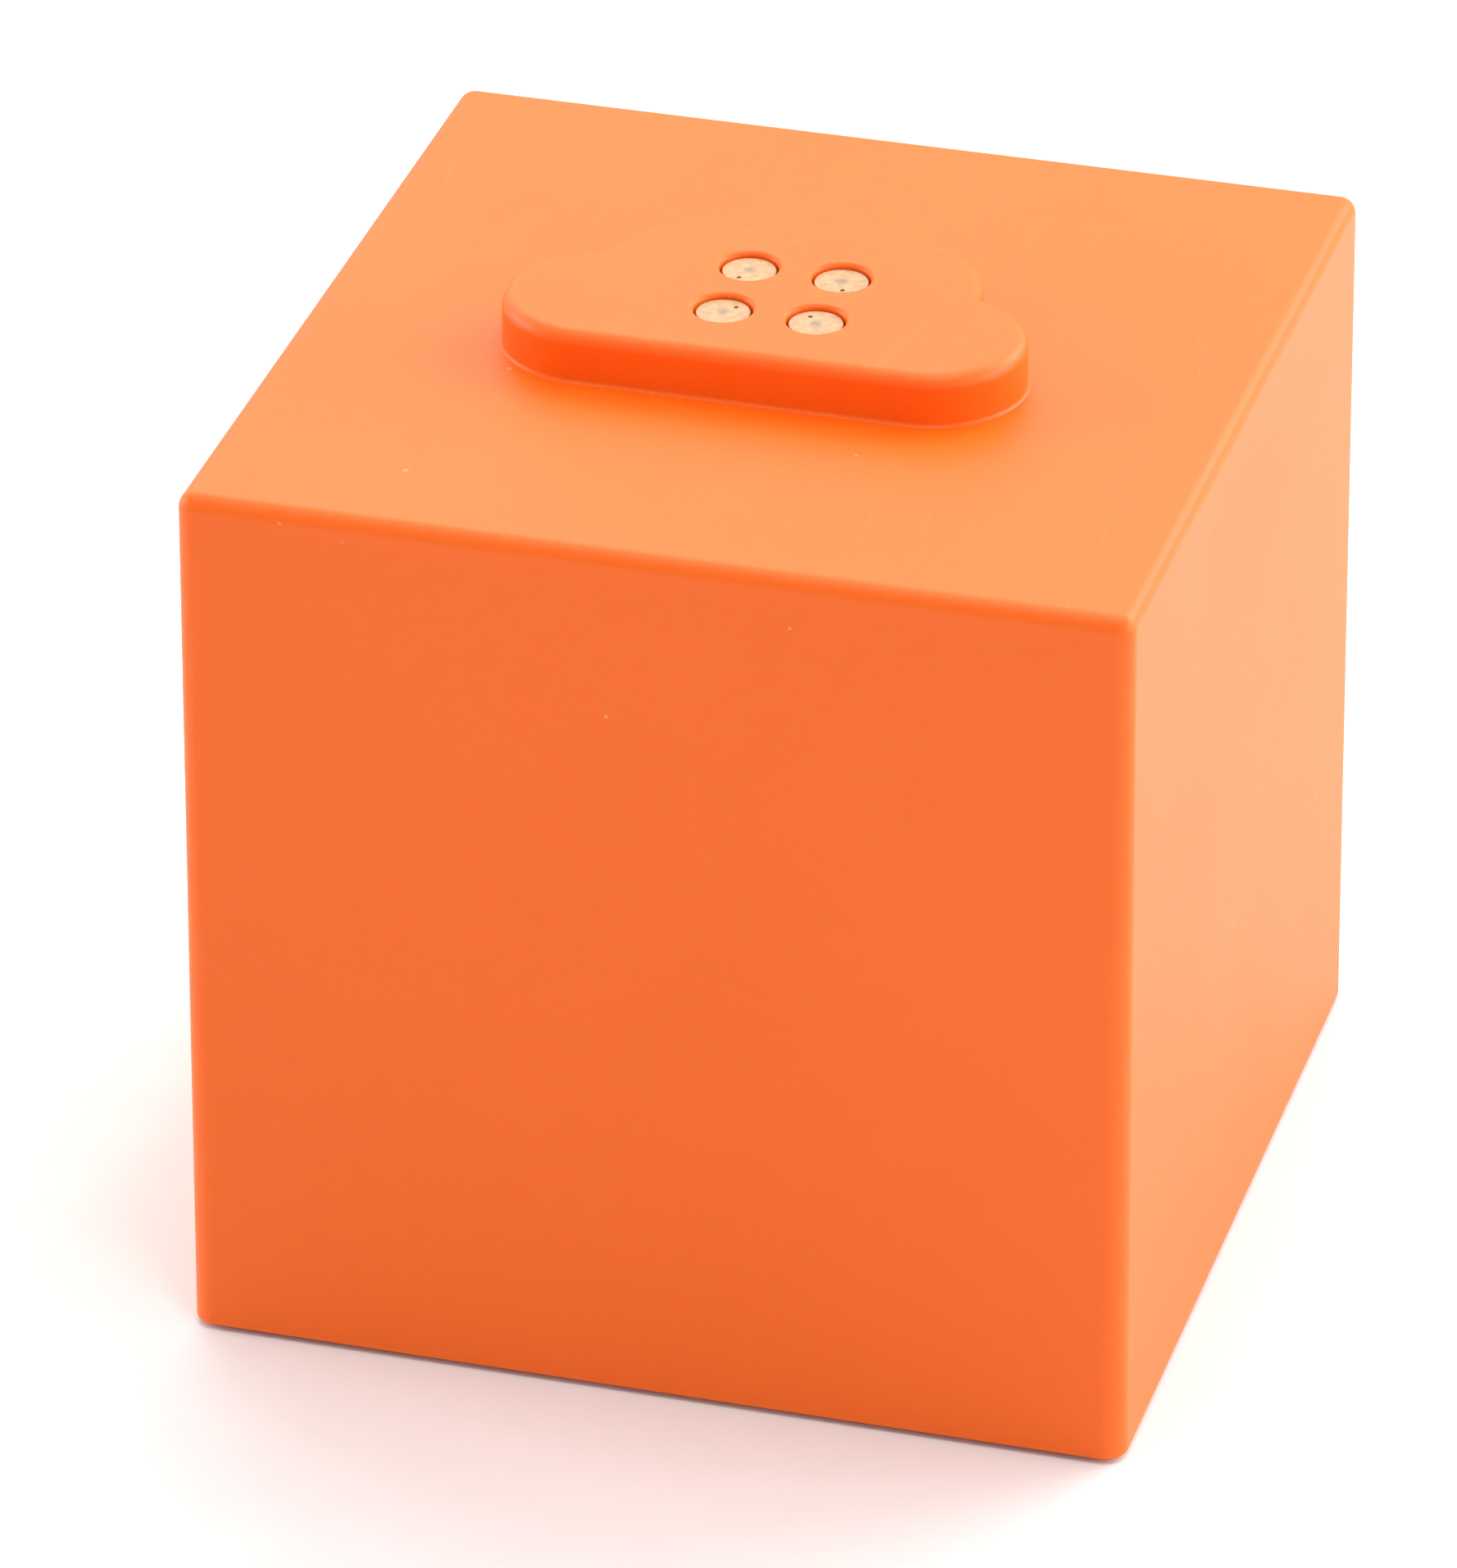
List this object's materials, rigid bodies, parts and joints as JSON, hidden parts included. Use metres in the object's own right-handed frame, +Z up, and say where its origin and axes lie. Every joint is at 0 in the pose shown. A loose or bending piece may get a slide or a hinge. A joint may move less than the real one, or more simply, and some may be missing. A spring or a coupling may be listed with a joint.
{
  "type": "stackable radio module cube",
  "caption": "Orange moulded cube module with a cloud-shaped keyed boss and gold contacts on top, and a matching socket with spring pins below, for stacking electronics.",
  "frame": {"origin": "middle of the footprint, on the plane that the feet stand on", "axes": "+Z up out of the stacking boss; -Y is the flat side of the boss outline, the front; +X to the right seen from the front"},
  "size_m": [0.0682, 0.0682, 0.0704],
  "materials": {
    "shell_orange": "satin orange ABS, fine moulded grain",
    "foot_rubber": "matte black rubber",
    "contact_gold": "pale brushed gold plating, scuffed at the middle",
    "pin_gold": "bright gold plating",
    "spring_steel": "drawn spring wire",
    "screw_zinc": "zinc-plated steel",
    "board_green": "green solder resist",
    "shield_tin": "tinned sheet",
    "antenna_copper": "enamelled copper wire",
    "header_black": "glass-filled black plastic",
    "chip_black": "matte black moulding compound",
    "inductor_ferrite": "dark grey ferrite",
    "capacitor_aluminium": "plain drawn aluminium can"
  },
  "bodies": {
    "root": {"housing": "shell_orange", "base_plate": "shell_orange", "rubber_foot_1": "foot_rubber", "rubber_foot_2": "foot_rubber", "rubber_foot_3": "foot_rubber", "rubber_foot_4": "foot_rubber", "top_contact_1": "contact_gold", "top_contact_2": "contact_gold", "top_contact_3": "contact_gold", "top_contact_4": "contact_gold", "spring_pin_barrel_1": "pin_gold", "spring_pin_barrel_2": "pin_gold", "spring_pin_barrel_3": "pin_gold", "spring_pin_barrel_4": "pin_gold", "spring_pin_spring_1": "spring_steel", "spring_pin_spring_2": "spring_steel", "spring_pin_spring_3": "spring_steel", "spring_pin_spring_4": "spring_steel", "base_screw_1": "screw_zinc", "base_screw_2": "screw_zinc", "base_screw_3": "screw_zinc", "base_screw_4": "screw_zinc", "top_board_screw_1": "screw_zinc", "top_board_screw_2": "screw_zinc", "bottom_board_screw_1": "screw_zinc", "bottom_board_screw_2": "screw_zinc", "top_contact_board": "board_green", "bottom_contact_board": "board_green", "main_board": "board_green", "radio_module_board": "board_green", "radio_shield_can": "shield_tin", "crystal": "shield_tin", "antenna_wire": "antenna_copper", "upper_link_header": "header_black", "lower_link_header": "header_black", "microcontroller": "chip_black", "memory_chip": "chip_black", "voltage_regulator": "chip_black", "power_inductor": "inductor_ferrite", "smoothing_capacitor_1": "capacitor_aluminium", "smoothing_capacitor_2": "capacitor_aluminium"},
    "plunger_1": {"spring_pin_plunger_1": "pin_gold"},
    "plunger_2": {"spring_pin_plunger_2": "pin_gold"},
    "plunger_3": {"spring_pin_plunger_3": "pin_gold"},
    "plunger_4": {"spring_pin_plunger_4": "pin_gold"}
  },
  "joints": [
    {"name": "spring_pin_1_slide", "type": "slide", "parent": "root", "child": "plunger_1", "axis": [0, 0, 1], "range_m": [0, 0.0014], "stiffness_N_per_m": 400, "springref_m": -0.0008, "deforming": ["spring_pin_spring_1"]},
    {"name": "spring_pin_2_slide", "type": "slide", "parent": "root", "child": "plunger_2", "axis": [0, 0, 1], "range_m": [0, 0.0014], "stiffness_N_per_m": 400, "springref_m": -0.0008, "deforming": ["spring_pin_spring_2"]},
    {"name": "spring_pin_3_slide", "type": "slide", "parent": "root", "child": "plunger_3", "axis": [0, 0, 1], "range_m": [0, 0.0014], "stiffness_N_per_m": 400, "springref_m": -0.0008, "deforming": ["spring_pin_spring_3"]},
    {"name": "spring_pin_4_slide", "type": "slide", "parent": "root", "child": "plunger_4", "axis": [0, 0, 1], "range_m": [0, 0.0014], "stiffness_N_per_m": 400, "springref_m": -0.0008, "deforming": ["spring_pin_spring_4"]}
  ]
}
